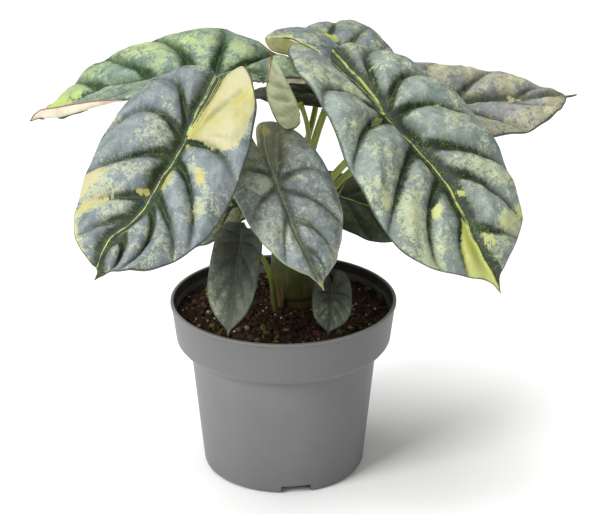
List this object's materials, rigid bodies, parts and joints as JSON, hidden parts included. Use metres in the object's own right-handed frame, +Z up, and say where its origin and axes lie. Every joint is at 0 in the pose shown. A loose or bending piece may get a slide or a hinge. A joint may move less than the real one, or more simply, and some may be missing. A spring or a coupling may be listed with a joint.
{
  "type": "potted alocasia plant",
  "caption": "Young silver-leaved plant with large quilted, cream-splashed, shield-shaped leaves on arching stalks, growing in a round, grey, tapering nursery pot.",
  "frame": {"origin": "centre of the pot's underside, on the surface it stands on", "axes": "+Z up along the pot's axis; -Y towards the front, where the large front leaves hang over the rim; +X to the right seen from the front"},
  "size_m": [0.2923, 0.2372, 0.2329],
  "materials": {
    "pot": "matte grey moulded plastic",
    "soil": "loose dark potting mix",
    "stem": "satin olive green",
    "stalk": "satin olive green",
    "leaf_silver": "satin silver grey with green veins and cream splashes",
    "leaf_green": "satin silver green with deep green veins",
    "leaf_pale": "satin pale sage",
    "leaf_dark": "satin dark olive green"
  },
  "bodies": {
    "root": {"pot": "pot", "soil": "soil", "stem_base": "stem", "stalk_a": "stalk", "leaf_a": "leaf_silver", "stalk_b": "stalk", "leaf_b": "leaf_green", "stalk_c": "stalk", "leaf_c": "leaf_pale", "stalk_d": "stalk", "leaf_d": "leaf_silver", "stalk_e": "stalk", "leaf_e": "leaf_silver", "stalk_f": "stalk", "leaf_f": "leaf_silver", "stalk_g": "stalk", "leaf_g": "leaf_silver", "stalk_h": "stalk", "leaf_h": "leaf_dark", "stalk_i": "stalk", "leaf_i": "leaf_dark", "stalk_j": "stalk", "leaf_j": "leaf_silver", "stalk_k": "stalk", "leaf_k": "leaf_dark", "stalk_l": "stalk", "leaf_l": "leaf_dark"}
  },
  "joints": []
}
